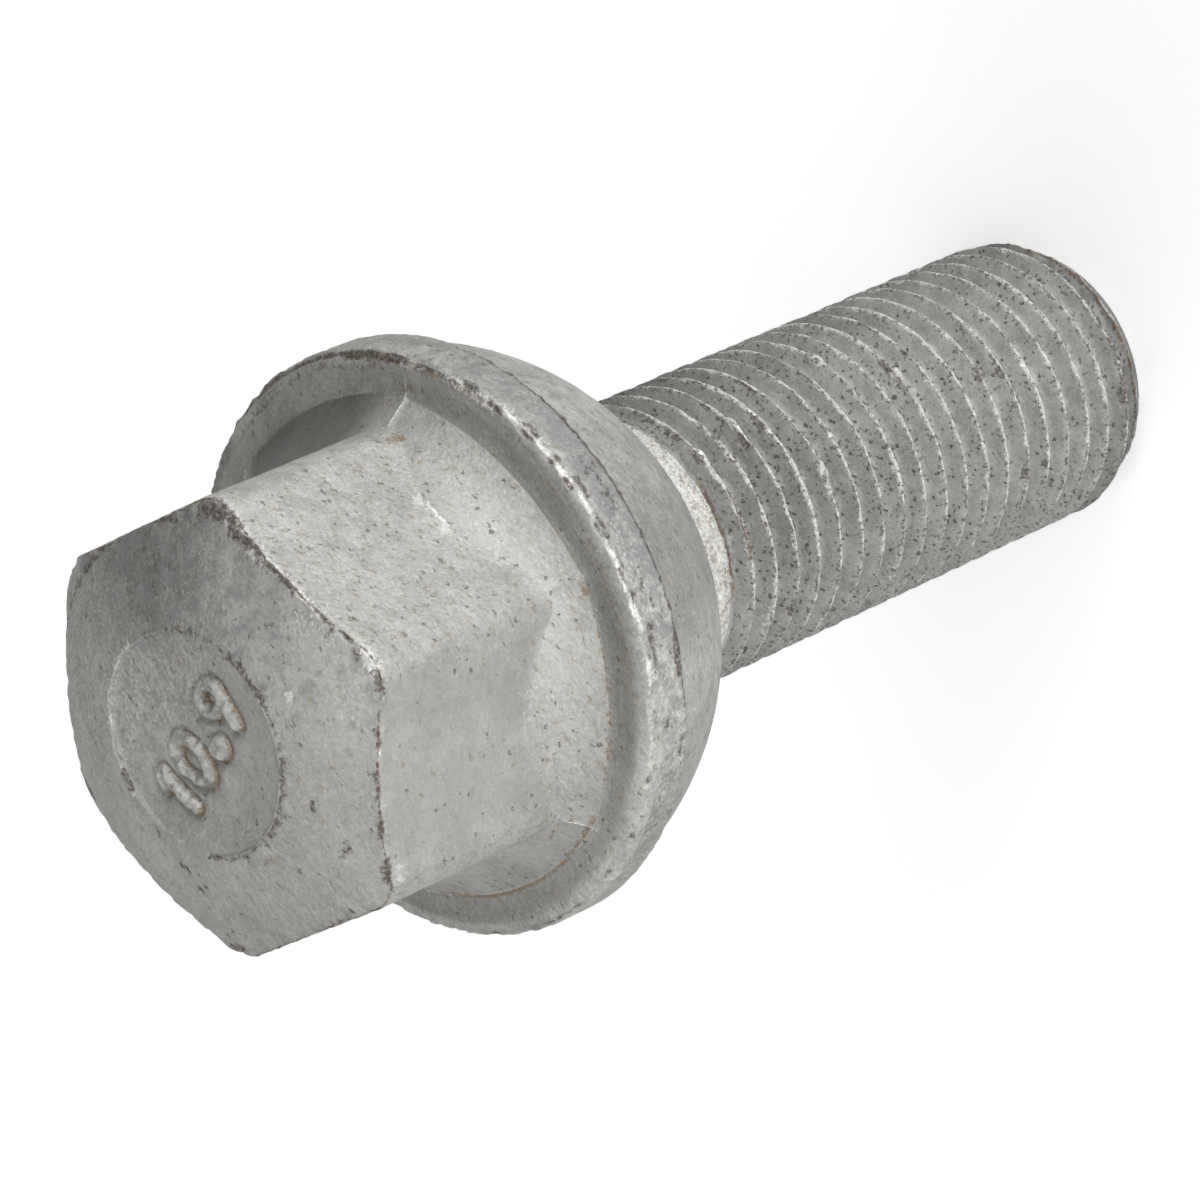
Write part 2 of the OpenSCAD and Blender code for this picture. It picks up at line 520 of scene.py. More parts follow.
def growSeat(ring):
    full = bolt["columns"]
    share = seatRadius / (seatRadius + bolt["filletRadius"])
    touchX = filletX * share
    touchZ = seatCentre + (filletZ - seatCentre) * share
    first = math.asin((flangeFoot - seat["start"] - seatCentre) / seatRadius)
    last = math.asin((touchZ - seatCentre) / seatRadius)
    for i in range(1, seat["rings"] + 1):
        turn = first + (last - first) * (i - 1) / (seat["rings"] - 1)
        height = seatCentre + seatRadius * math.sin(turn)
        ring = growRing(ring, full, seatRadius * math.cos(turn), height, seamGap=height - flangeFoot,
                        rough=seat["rough"], region=seatSkin)
    first = math.atan2(touchZ - filletZ, touchX - filletX)
    last = -math.pi
    first = first - 2 * math.pi if first > 0 else first
    for i in range(1, seat["filletRings"] + 1):
        turn = first + (last - first) * i / seat["filletRings"]
        radii = filletX + bolt["filletRadius"] * math.cos(turn)
        height = filletZ + bolt["filletRadius"] * math.sin(turn)
        count = full if i <= seat["fullRings"] else full // 2
        ring = growRing(ring, count, radii, height, rough=seat["rough"], region=seatSkin)
    for i in range(1, seat["neckRings"] + 1):
        height = filletZ + (threadTop - filletZ) * (i / seat["neckRings"])
        ring = growRing(ring, full // 2, neckRadius, height, rough=0.9, region=neckSkin)
    return ring


# Rolled metric thread: phase 0 is the crest, rising towards the head

thread = {
    "knots": (-0.375, -0.22, -0.085, -0.045, 0.045, 0.085, 0.14, 0.21, 0.29, 0.375, 0.5),
    "depths": (0.812, 0.41, 0.06, 0.0, 0.0, 0.06, 0.20, 0.385, 0.59, 0.812, 0.89),
    "crestCut": (29.55, 29.95),  # the crests fall to the neck between these heights
    "rootLift": (29.35, 29.85),  # the grooves rise to the neck between these
    "crestDip": 0.09,            # worn dips along the crests
    "dipSize": 0.8,
    "waver": 0.05,               # how far the turns wander up and down
    "waverSize": 1.7,
    "snap": 0.03,
}


def threadSurface(depth, height):
    radius = bolt["threadRadius"] - depth
    rootFloor = neckRadius - 0.52 * (1 - smooth(*thread["rootLift"], height))
    radius = np.maximum(radius, rootFloor)
    radius = np.minimum(radius, neckRadius + bolt["neckRelief"] * (1 - smooth(*thread["crestCut"], height)))
    chamfer = tipRadius + bolt["tipDrop"] * np.clip(height / bolt["tipChamfer"], 0, 1)
    return np.minimum(radius, chamfer)


def growThread(topRing, lowHeight):
    # rows follow the helix, and are snapped to a flat ring at both ends
    count = len(topRing)
    knots = np.array(thread["knots"])
    depths = np.array(thread["depths"])
    perTurn = len(knots)
    pitch = bolt["pitch"]
    turns = columnAngles(count) / 360
    bottomRing = addRing(count, threadSurface(0.0, lowHeight), lowHeight, rough=0.2, region=threadSkin)
    firstTurn = math.floor((lowHeight - bolt["crestHeight"]) / pitch) - 2
    lastTurn = math.ceil((threadTop - bolt["crestHeight"]) / pitch) + 2
    rows = np.arange(firstTurn * perTurn, lastTurn * perTurn)
    index = np.empty((len(rows), count), dtype=int)
    for r, row in enumerate(rows):
        turn, knot = divmod(row, perTurn)
        height = bolt["crestHeight"] + pitch * (turn + knots[knot] + turns)
        around = np.radians(columnAngles(count))
        run = np.stack([7 * np.cos(around), 7 * np.sin(around), height], 1)
        height = height + thread["waver"] * smoothNoise(run, thread["waverSize"], 19, 2)
        high = height > threadTop - thread["snap"]
        low = height < lowHeight + thread["snap"]
        index[r, high] = topRing[high]
        index[r, low] = bottomRing[low]
        free = ~(high | low)
        if free.any():
            angle = np.radians(columnAngles(count)[free])
            radius = threadSurface(depths[knot], height[free])
            if abs(knots[knot]) < 0.1:
                dips = np.clip(smoothNoise(run[free], thread["dipSize"], 18, 3) - 0.05, 0, 1)
                radius = radius - thread["crestDip"] * dips
            rough = 0.5 + 2.6 * smooth(bolt["tipChamfer"] + 0.4, bolt["tipChamfer"] - 0.5, height[free])
            carried = {"crestGap": knots[knot] * pitch, "rough": rough, "region": threadSkin}
            index[r, free] = addPoints(radius * np.cos(angle), radius * np.sin(angle), height[free], carried)
    for r in range(len(rows) - perTurn - 1):
        for j in range(count):
            if j + 1 < count:
                lowerNext, upperNext = index[r, j + 1], index[r + 1, j + 1]
            else:
                lowerNext, upperNext = index[r + perTurn, 0], index[r + perTurn + 1, 0]
            loop = [index[r + 1, j], index[r, j], lowerNext, upperNext]
            loop = [v for i, v in enumerate(loop) if v != loop[i - 1]]
            if len(loop) > 2 and len(set(loop)) == len(loop):
                skin["faces"].append(tuple(loop))
    return bottomRing


tip = {
    "startHeight": 0.09,         # where the thread's rows end and the round of the tip starts
    "roundStep": (0.04, 0.02),   # a ring on that round: how far in, and its height
    "rings": (5.2, 4.0),         # radii on the end face
    "innerRings": (2.8, 1.6, 0.7),   # each has half as many points as the one before
}


def growTip(ring):
    count = len(ring)
    outer = float(threadSurface(0.0, tip["startHeight"]))
    inset, height = tip["roundStep"]
    ring = growRing(ring, count, outer - inset, height, rough=0.0, region=threadSkin)
    for radius in (outer - bolt["tipRound"], *tip["rings"]):
        ring = growRing(ring, count, radius, 0.0, rough=0.0, region=threadSkin)
    for radius in tip["innerRings"]:
        count //= 2
        ring = growRing(ring, count, radius, 0.0, rough=0.0, region=threadSkin)
    capCentre(ring, 0.0, False, rough=0.0, region=threadSkin)


rimRing, rimRadius = growRecess()
hexFoot = growHex(rimRing, rimRadius)
padFoot = growCoves(hexFoot)
flangeFootRing = growFlange(padFoot)
neckFoot = growSeat(flangeFootRing)
tipRing = growThread(neckFoot, tip["startHeight"])
growTip(tipRing)

points = np.concatenate(skin["points"])
marks = {name: np.concatenate(values) for name, values in skin["marks"].items()}
print("skin grown:", len(points), "points,", len(skin["faces"]), "faces")


def makeSkinMesh():
    mesh = bpy.data.meshes.new("boltSkin")
    mesh.from_pydata((points * mm).tolist(), [], [tuple(int(v) for v in face) for face in skin["faces"]])
    mesh.validate()
    mesh.update()
    return mesh


# Wear, with some painted light and shade among it, at its own places: angles, radius, height and width, then
# strength; dark chips also dent the skin

onCrown = None                   # height is taken from the crowned end
wearPlaces = {
    "dark": [
        # rim of the recess
        (284, 303, 5.15, onCrown, 0.28, 0.75), (276, 283, 5.2, onCrown, 0.26, 0.8),
        (203, 232, 5.16, onCrown, 0.15, 0.6), (232, 247, 5.16, onCrown, 0.2, 0.6),
        (247, 276, 5.16, onCrown, 0.11, 0.45), (303, 330, 5.16, onCrown, 0.12, 0.45),
        (163, 203, 5.14, onCrown, 0.12, 0.5), (155, 163, 5.05, onCrown, 0.24, 0.7),
        (88, 97, 5.15, onCrown, 0.22, 0.8), (325, 345, 5.15, onCrown, 0.16, 0.5),
        # pits of the crowned end
        (120, 121, 5.6, onCrown, 0.24, 0.8), (136, 139, 6.4, onCrown, 0.28, 0.8),
        (144, 147, 7.1, onCrown, 0.3, 0.8), (151, 153, 8.3, onCrown, 0.22, 0.8),
        (204, 206, 5.5, onCrown, 0.25, 0.7), (216, 221, 8.3, onCrown, 0.28, 0.6),
        (228, 231, 6.6, onCrown, 0.2, 0.7), (20, 50, 9.7, onCrown, 0.35, 0.5),
        (60, 63, 4.1, onCrown, 0.2, 0.7), (190, 193, 4.2, onCrown, 0.22, 0.6),
        # end edge of the hex
        (322, 333, 10.1, onCrown, 0.75, 0.75), (313, 322, 9.6, onCrown, 0.34, 0.95),
        (306, 311, 9.35, onCrown, 0.28, 0.85), (298, 304, 9.35, onCrown, 0.3, 0.85),
        (283, 297, 9.6, onCrown, 0.2, 0.7), (274, 282, 10.0, onCrown, 0.2, 0.75),
        (260, 269, 10.4, onCrown, 0.34, 1.0), (248, 256, 9.7, onCrown, 0.2, 0.75),
        (236, 244, 9.4, onCrown, 0.2, 0.65), (226, 231, 9.6, onCrown, 0.22, 0.8),
        (214, 219.5, 10.15, onCrown, 0.42, 0.8), (340, 30, 9.6, onCrown, 0.28, 0.75),
        (88, 92, 10.3, onCrown, 0.5, 0.7), (148, 152, 10.3, onCrown, 0.6, 0.7),
        (170, 200, 9.6, onCrown, 0.2, 0.6),
        # inner side of the lip, with nicks along it, and a broad band of painted shade
        (331, 346, 13.3, 43.45, 0.34, 1.0), (309, 331, 13.3, 43.5, 0.2, 0.6),
        (346, 20, 13.4, 43.4, 0.24, 0.85), (20, 75, 13.45, 43.35, 0.16, 0.7),
        (33, 35, 13.5, 43.0, 0.34, 1.0), (44, 45, 13.5, 43.0, 0.3, 0.9), (336, 20, 12.9, 43.5, 0.45, 0.34),
        (227, 228, 13.5, 43.2, 0.2, 0.7), (214, 215, 13.5, 43.3, 0.22, 0.7),
        (203, 204, 13.4, 43.4, 0.24, 0.75), (176, 193, 13.4, 43.4, 0.12, 0.7),
        (166, 168, 13.4, 43.4, 0.25, 0.8), (100, 140, 13.45, 43.35, 0.15, 0.7),
        # lip and band, beside the rubbed line
        (242, 243, 13.45, 43.5, 0.24, 0.9), (245, 246, 13.45, 43.55, 0.2, 0.8),
        (262, 264, 13.5, 43.0, 0.2, 0.8), (268, 270, 13.5, 42.9, 0.18, 0.7),
        (275, 279, 13.5, 43.0, 0.25, 0.75), (283, 287, 13.5, 42.9, 0.3, 0.85),
        (291, 293, 13.5, 43.0, 0.25, 0.8), (297, 301, 13.5, 43.0, 0.3, 0.75),
        (313, 316, 13.4, 43.3, 0.25, 0.8), (253, 257, 13.5, 42.65, 0.3, 0.8),
        (250, 252.5, 13.5, 42.7, 0.22, 0.9), (260, 261.5, 13.5, 42.15, 0.22, 0.8),
        (263, 265, 13.5, 42.3, 0.2, 0.7), (237, 239, 13.5, 42.3, 0.2, 0.7),
        (230, 234, 13.5, 41.4, 0.3, 0.65), (279, 290, 13.5, 41.9, 0.6, 0.42),
        (306, 307, 13.45, 42.0, 0.3, 0.6), (317, 319, 13.45, 41.6, 0.25, 0.6),
        (276, 278, 13.45, 43.3, 0.16, 0.8), (266.5, 268.5, 13.5, 43.2, 0.16, 0.8),
        (286, 288, 13.45, 43.35, 0.17, 0.85), (291.5, 293, 13.4, 43.4, 0.17, 0.85),
        (298, 300, 13.4, 43.4, 0.2, 0.85), (306, 308.5, 13.35, 43.45, 0.22, 0.85),
        # foot of the band: painted shadow along the seam, with dark flakes
        (240, 292, 13.5, 41.02, 0.28, 1.4), (262, 274, 13.5, 41.1, 0.3, 0.85),
        (253, 257, 13.5, 41.05, 0.36, 1.0), (246.5, 253, 13.5, 41.35, 0.34, 1.0),
        (243.5, 246.5, 13.5, 41.05, 0.3, 0.9), (281, 326, 13.5, 41.02, 0.3, 1.4),
        (294, 306, 13.5, 41.1, 0.3, 0.7), (228, 240, 13.5, 41.05, 0.2, 0.7),
        # thread
        (293, 294.6, 6.85, 29.45, 0.34, 1.0), (297.5, 300, 6.85, 27.6, 0.3, 0.9),
        (311, 315, 6.85, 26.5, 0.25, 0.8), (303, 307, 6.8, 26.6, 0.3, 0.8),
        (290.5, 294, 6.8, 26.4, 0.36, 1.0), (296, 300, 6.8, 24.8, 0.3, 0.9),
        (292, 294, 6.8, 25.1, 0.22, 0.8), (311, 317, 6.85, 23.5, 0.27, 0.85),
        (291, 294, 6.85, 21.6, 0.3, 0.8), (283, 286, 6.85, 21.65, 0.26, 0.85),
        (287, 290, 6.85, 18.6, 0.28, 0.8), (309, 312, 6.85, 14.8, 0.3, 0.9),
        (295, 299.5, 6.85, 15.85, 0.34, 1.0), (283, 287, 6.8, 16.1, 0.42, 1.0),
        (289, 291.5, 6.85, 15.9, 0.24, 0.8), (250.5, 254, 6.85, 17.5, 0.32, 0.9),
        (258, 260.5, 6.85, 17.55, 0.26, 0.85), (218, 224, 6.85, 25.9, 0.4, 0.8),
        (278, 281, 6.85, 11.2, 0.35, 0.8), (275, 278, 6.85, 9.8, 0.3, 0.8), (233, 236, 6.8, 9.6, 0.3, 1.0),
        (233, 235.5, 6.8, 8.1, 0.26, 1.0), (287, 290, 6.8, 9.4, 0.22, 0.8), (60, 75, 6.85, 14.0, 0.4, 0.8),
        (120, 128, 6.85, 21.0, 0.4, 0.8), (20, 27, 6.85, 8.0, 0.4, 0.8), (222, 226, 6.85, 24.9, 0.35, 0.75),
        (212, 218, 6.85, 27.2, 0.32, 0.75), (224, 228, 6.85, 22.3, 0.3, 0.7),
        (216, 222, 6.85, 19.4, 0.34, 0.7),
        # neck
        (246, 258, 6.55, 29.93, 0.22, 0.8), (262, 272, 6.55, 29.98, 0.26, 0.85),
        (275, 281, 6.55, 29.98, 0.26, 0.75), (302, 322, 6.7, 29.4, 0.3, 0.6),
        (250, 278, 6.9, 29.0, 0.18, 0.7),
        # tip
        (248, 318, 6.8, 2.05, 0.24, 0.95), (246, 250, 6.8, 2.2, 0.35, 0.9), (264, 273, 6.7, 1.5, 0.34, 1.0),
        (280, 335, 6.55, 0.9, 0.3, 0.75), (225, 262, 6.5, 0.8, 0.3, 0.7), (314, 320, 6.8, 3.6, 0.3, 0.7),
        (236, 256, 6.6, 0.9, 0.24, 0.7), (262, 276, 6.6, 1.0, 0.26, 0.8), (296, 312, 6.6, 1.0, 0.24, 0.8),
    ],
    "bright": [
        # recess rim, end edge and the corner nearest the viewer
        (15, 100, 5.2, onCrown, 0.17, 0.66), (310, 314, 9.35, onCrown, 0.3, 0.7),
        (314, 325, 9.95, onCrown, 0.24, 0.7), (269.5, 274, 10.4, onCrown, 0.42, 1.2),
        (214, 217.5, 10.35, 54.85, 0.45, 0.8), (282, 300, 9.35, 55.7, 0.3, 0.75),
        (302, 309, 9.45, 55.7, 0.26, 0.8), (271.5, 273.5, 6.6, onCrown, 0.3, 0.9),
        # the wide weak patch at radius 8.9 is painted glints near that corner
        (263, 290, 8.9, onCrown, 1.6, 0.25), (240, 258, 9.6, 55.6, 0.2, 0.6),
        # burr where a cove starts
        (290, 297, 9.55, 46.9, 0.2, 1.3), (297, 311, 9.6, 46.7, 0.2, 1.2), (309, 317, 9.9, 46.3, 0.16, 0.7),
        # rubbed line along the lip: bare spots, and a painted highlight along it
        (246, 284, 13.5, 43.2, 0.2, 0.45), (284, 299, 13.5, 43.1, 0.4, 0.4),
        (236, 246, 13.5, 43.2, 0.2, 0.45), (269.5, 273, 13.5, 43.23, 0.2, 1.2),
        (264.5, 268, 13.5, 43.3, 0.16, 1.1), (259.5, 262, 13.5, 43.2, 0.22, 1.2),
        (256.5, 259, 13.5, 43.05, 0.16, 1.1), (247, 251, 13.5, 43.1, 0.3, 0.8),
        (280.5, 283, 13.5, 43.25, 0.2, 1.1), (287.5, 290.5, 13.5, 43.3, 0.24, 1.1),
        (294, 296.5, 13.5, 43.3, 0.22, 1.1), (302, 305, 13.45, 43.35, 0.24, 1.0),
        (316, 319, 13.3, 43.5, 0.34, 1.0), (309, 312.5, 13.3, 43.5, 0.36, 1.0),
        (328.5, 331, 13.2, 43.5, 0.26, 1.2), (299, 307, 13.45, 43.2, 0.5, 0.5),
        (60, 72, 13.5, 43.2, 0.25, 0.8), (130, 139, 13.5, 43.2, 0.25, 0.8),
        # broad painted sheen on the band
        (240, 275, 13.5, 42.4, 0.8, 0.3),
        # burrs on the thread
        (269, 271, 6.9, 23.05, 0.42, 2), (292, 293.5, 6.9, 15.7, 0.42, 2), (312, 314.5, 6.9, 18.8, 0.4, 2),
        (299.6, 301.5, 6.9, 26.13, 0.36, 2), (292, 295, 6.9, 29.1, 0.36, 1.6),
        (305, 308, 6.9, 24.55, 0.26, 1.2), (292, 294.5, 6.9, 25.05, 0.2, 0.8),
        (214, 224, 6.85, 27.3, 0.8, 0.5), (222, 240, 6.9, 22.5, 0.7, 0.4), (226, 234, 6.9, 25.6, 0.5, 0.55),
        (212, 222, 6.9, 18.4, 0.6, 0.45), (206, 216, 6.9, 13.0, 0.6, 0.45),
    ],
    "brown": [
        # dirt in the ridges, round the pad and at both ends of the thread
        (266, 268.5, 11.4, 43.62, 0.32, 0.9), (207, 212, 11.5, 43.62, 0.3, 0.9),
        (328, 332, 11.4, 43.65, 0.25, 0.8), (324, 331, 10.4, 45.0, 0.3, 0.75),
        (328, 332, 12.2, 43.62, 0.24, 0.7), (203, 210, 10.6, 44.6, 0.25, 0.7),
        (138, 212, 11.55, 43.58, 0.16, 0.8), (212, 266, 11.42, 43.62, 0.2, 0.5),
        (30, 138, 11.55, 43.58, 0.14, 0.6), (268, 330, 11.5, 43.58, 0.10, 0.45),
        (309, 345, 13.2, 43.5, 0.3, 0.5), (240, 290, 12.7, 43.56, 0.22, 0.42),
        (234, 286, 6.55, 29.97, 0.3, 0.6), (228, 240, 6.55, 29.95, 0.24, 0.6),
        (250, 276, 6.9, 28.98, 0.26, 0.9), (243, 338, 6.6, 0.9, 0.5, 0.62), (258, 285, 6.7, 1.3, 0.34, 0.7),
        (225, 243, 6.6, 0.7, 0.4, 0.5),
    ],
    "nodule": [
        # lumps of zinc on the crests
        (292, 293.5, 6.9, 15.7, 0.42, 1.0), (312, 314.5, 6.9, 18.8, 0.38, 0.9),
        (269, 271, 6.9, 23.05, 0.42, 1.0), (299.6, 301.5, 6.9, 26.13, 0.34, 0.9),
        (292, 295, 6.9, 29.1, 0.32, 0.7),
    ],
}

wear = {
    "waveSize": 3.2, "waveDepth": 0.022,
    "lumpSize": 0.75, "lumpDepth": 0.03,
    "grainSize": 0.3, "grainDepth": 0.018,
    "lowered": 0.006,            # so that lumps stay about as high as the true surface
    "rimSize": 0.45, "rimDepth": 0.06,
    "rimRough": 1.2,             # the rim and the tip are lumpy where they are rougher than this
    "dentDepth": 0.10, "burrHeight": 0.03, "noduleHeight": 0.14,
    "neckBrown": 0.32, "neckBright": 0.5,
    "inside": 0.001,             # the skin stays this far inside the solid's outline
}


def placeAmount(start, end, radius, height, width):
    # 1 along an arc about the axis, falling to 0 at its width
    if height is onCrown:
        height = float(crownHeight(radius))
    half = ((end - start) % 360) / 2
    off = np.abs((pointAngle - start - half + 180) % 360 - 180)
    along = np.radians(np.maximum(off - half, 0)) * radius
    gap = np.sqrt(along ** 2 + (pointRadius - radius) ** 2 + (points[:, 2] - height) ** 2)
    return np.clip(1 - gap / width, 0, 1)


def wornAt(kind):
    total = np.zeros(len(points))
    for *place, strength in wearPlaces[kind]:
        total = np.maximum(total, strength * smooth(0, 0.75, placeAmount(*place)))
    return total


def wearSkin(mesh):
    normals = np.empty(len(mesh.vertices) * 3)
    mesh.vertices.foreach_get("normal", normals)
    normals = normals.reshape(-1, 3)
    rough = marks["rough"]
    wave = np.minimum(smoothNoise(points, wear["waveSize"], 21, 2), 0.3) * wear["waveDepth"]
    lump = smoothNoise(points, wear["lumpSize"], 22, 2) * wear["lumpDepth"]
    grain = smoothNoise(points, wear["grainSize"], 23, 2)
    push = rough * (wave + lump + grain * wear["grainDepth"]) - wear["lowered"] * rough
    rimOrTip = np.isin(marks["region"], (lipSkin, bandSkin)) | (points[:, 2] < bolt["tipChamfer"])
    rimLump = smoothNoise(points, wear["rimSize"], 24, 2) * wear["rimDepth"]
    push += np.clip(rough - wear["rimRough"], 0, 1) * rimOrTip * rimLump
    push -= wear["dentDepth"] * np.clip(marks["dark"] * (1 + 1.6 * grain) - 0.25, 0, 1)
    push += wear["burrHeight"] * np.clip(marks["bright"] * (1 + 1.6 * grain) - 0.2, 0, 1)
    push += wear["noduleHeight"] * marks["nodule"]
    moved = points + normals * push[:, None]
    crestLimit = bolt["threadRadius"] + wear["noduleHeight"] * marks["nodule"]
    limit = np.where(points[:, 2] > threadTop, bolt["flangeRadius"], crestLimit) - wear["inside"]
    reach = np.hypot(moved[:, 0], moved[:, 1])
    moved[:, :2] *= np.minimum(1, limit / np.maximum(reach, 0.01))[:, None]
    moved[:, 2] = np.clip(moved[:, 2], 0, cadBox[1].z / mm - wear["inside"])
    mesh.vertices.foreach_set("co", (moved * mm).ravel())
    mesh.update()


# Look of each region, and of its sides

regionLook = {
    # tone, pits, grain; the tones also carry painted light and shade, most of all the margin's low painted
    # shade
    crownSkin: (1.0, 0.50, 1.15),
    flatSkin: (1.08, 0.50, 1.0),
    coveSkin: (1.03, 0.55, 0.9),
    padSkin: (0.72, 0.80, 1.0),
    lipSkin: (1.00, 0.45, 1.3),
    bandSkin: (1.0, 0.60, 1.6),
    seatSkin: (1.03, 0.45, 1.0),
    neckSkin: (1.55, 1.0, 2.4),
    threadSkin: (0.97, 0.22, 1.2),
}
sideLook = {
    # region: middle angle, spread in degrees, and how much more or less
    # on the tone, these are painted light and painted shade on one side or another of a region
    "toneAndShade": {
        flatSkin: [(300, 36, 0.14)],
        coveSkin: [(3, 32, -0.58), (240, 28, 0.06)],
        padSkin: [(285, 62, -0.06), (345, 15, 0.16), (205, 30, 0.12), (300, 42, 0.22)],
        lipSkin: [(38, 14, -0.42), (4, 16, -0.2), (62, 26, -0.26), (210, 34, 0.3), (240, 20, 0.06)],
        bandSkin: [(243, 26, 0.24)],
        seatSkin: [(265, 18, -0.16), (245, 13, 0.1), (312, 18, 0.14)],
        threadSkin: [(205, 45, 0.14), (330, 36, 0.12)],
    },
    "pitted": {
        flatSkin: [(300, 36, 0.9), (240, 30, -0.5)],
        crownSkin: [(10, 70, 0.5)],
        threadSkin: [(215, 30, 0.9), (300, 40, 0.4)],
    },
    "grainy": {
        flatSkin: [(300, 36, 0.15), (240, 30, -0.4)],
        crownSkin: [(10, 80, 0.35), (260, 70, -0.2)],
        seatSkin: [(300, 40, 0.4)],
    },
}
shading = {
    "farSide": (-5, 8.5),        # angle and radius of the darkest place of the painted shade on the crowned end
    "farDark": 0.35,
    "lowCorner": (0.3, -9.0),    # x and y of the lightest place of the painted light on it
    "cornerLight": 0.15,
    "lowSide": 250,              # the side where painted light lightens the margin towards the lip, and painted shade darkens the lip
    "marginLight": 0.25,
    "lipShade": 0.16,
    "tipDark": 0.3,
    "neckDark": 0.22,            # on the thread, beside the neck
    "neckSide": 315,
}


def lookOf(kind, values):
    for region, sides in sideLook[kind].items():
        for middle, spread, change in sides:
            aside = np.abs((pointAngle - middle + 180) % 360 - 180)
            values = values * (1 + change * (marks["region"] == region) * smooth(spread, 0.6 * spread, aside))
    return values


def regionValues(column):
    return np.array([regionLook[int(region)][column] for region in marks["region"]])


def toneAndShadeAt():
    toneAndShade = lookOf("toneAndShade", regionValues(0))
    # painted shade on the crowned end's far side, and painted light near its lowest corner
    farAngle, farRadius = shading["farSide"]
    turn = np.radians(pointAngle - farAngle)
    aside = np.hypot(pointRadius * np.cos(turn) - farRadius, pointRadius * np.sin(turn))
    cornerX, cornerY = shading["lowCorner"]
    near = np.hypot(points[:, 0] - cornerX, points[:, 1] - cornerY)
    paintedShade = 1 - shading["farDark"] * smooth(6.5, 1.0, aside)
    paintedLight = 1 + shading["cornerLight"] * smooth(5, 1.0, near)
    toneAndShade = toneAndShade * np.where(marks["region"] == crownSkin, paintedShade * paintedLight, 1)
    # painted light on the margin towards the lip, and painted shade on the lip's inner side
    rim = pointRadius - (bolt["flangeRadius"] - bolt["lipRound"])
    lowSide = smooth(0, 0.5, np.cos(np.radians(pointAngle - shading["lowSide"])))
    onMargin = lowSide * (marks["region"] == padSkin)
    onLip = lowSide * (marks["region"] == lipSkin)
    toneAndShade = toneAndShade * (1 + shading["marginLight"] * onMargin * smooth(-0.45, 0.0, rim))
    toneAndShade = toneAndShade * (1 - shading["lipShade"] * onLip * smooth(0.75, 0.1, rim))
    # the thread is darker at its tip, and on one side near the neck
    darkSide = smooth(-0.2, 0.6, np.cos(np.radians(pointAngle - shading["neckSide"])))
    ends = shading["tipDark"] * smooth(2.9, 1.7, points[:, 2])
    ends += shading["neckDark"] * darkSide * smooth(17, 26, points[:, 2])
    return toneAndShade * (1 - ends * (marks["region"] == threadSkin))


pitting = {
    "groove": 0.40,              # middle of the pitted groove, in millimetres from a crest
    "grooveWidth": 0.17,
    "patchSize": 4.0,
}


def pitsAt():
    # more pits in the grooves, and more near the neck than near the tip
    aside = (marks["crestGap"] - pitting["groove"]) / pitting["grooveWidth"]
    groove = (marks["region"] == threadSkin) * np.exp(-aside ** 2)
    groove = groove * (0.6 + 0.8 * smooth(6, 26, points[:, 2]))
    patches = 0.8 + 0.9 * smoothNoise(points, pitting["patchSize"], 31)
    return np.clip((lookOf("pitted", regionValues(1)) + groove) * patches, 0, 1)


mottling = {
    "even": {seatSkin: 0.32, lipSkin: 0.2, threadSkin: 0.2},
    "band": (0.26, 0.3, 285),    # amount, swing round the bolt, and the angle where it is most
    "bandPatch": (268, 296, 13.5, 41.7, 1.7),
    "bandPatchAmount": 0.35,
    "crown": (0.22, 0.2, 340),
}


def mottlingAt():
    # blue-grey mottling, mostly of the band and of the crowned end's edge
    amount, turning, middle = mottling["band"]
    band = amount + turning * np.cos(np.radians(pointAngle - middle))
    band += mottling["bandPatchAmount"] * placeAmount(*mottling["bandPatch"])
    amount, turning, middle = mottling["crown"]
    crown = amount + turning * np.cos(np.radians(pointAngle - middle)) * smooth(3, 8, pointRadius)
    mottled = (marks["region"] == bandSkin) * band + (marks["region"] == crownSkin) * crown
    for region, even in mottling["even"].items():
        mottled += even * (marks["region"] == region)
    return mottled


crestRubAndLight = {
    "shadedSide": 205,
    "runSize": 1.4,
}


def crestsAt():
    # how bright the crests are, rubbed bare and painted as highlights: in long runs, and with less painted
    # highlight on the lower side
    away = np.abs((pointAngle - crestRubAndLight["shadedSide"] + 180) % 360 - 180)
    runs = smoothNoise(points, crestRubAndLight["runSize"], 33, 2)
    return np.clip(0.97 + 1.1 * runs - 0.5 * smooth(45, 5, away), 0.2, 1.35)


skinMesh = makeSkinMesh()
pointRadius = np.hypot(points[:, 0], points[:, 1])
pointAngle = np.degrees(np.arctan2(points[:, 1], points[:, 0]))
for kind in wearPlaces:
    marks[kind] = wornAt(kind)
onNeck = marks["region"] == neckSkin
marks["brown"] = np.maximum(marks["brown"], wear["neckBrown"] * onNeck)
marks["bright"] = np.maximum(marks["bright"], wear["neckBright"] * onNeck)
marks["toneAndShade"] = toneAndShadeAt()
marks["pitted"] = pitsAt()
marks["grainy"] = lookOf("grainy", regionValues(2))
marks["mottled"] = mottlingAt()
marks["crestLit"] = crestsAt()
wearSkin(skinMesh)
for name in marks:
    layer = skinMesh.attributes.new(name, "FLOAT", "POINT")
    layer.data.foreach_set("value", marks[name])
skinMesh.polygons.foreach_set("use_smooth", [True] * len(skinMesh.polygons))
skinMesh.set_sharp_from_angle(angle=math.radians(bolt["sharpAngle"]))
boltPiece = bpy.data.objects.new("wheelBoltSkin", skinMesh)
bpy.context.scene.collection.objects.link(boltPiece)
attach(boltPiece, "root")
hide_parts("wheel_bolt")
print("bolt made")


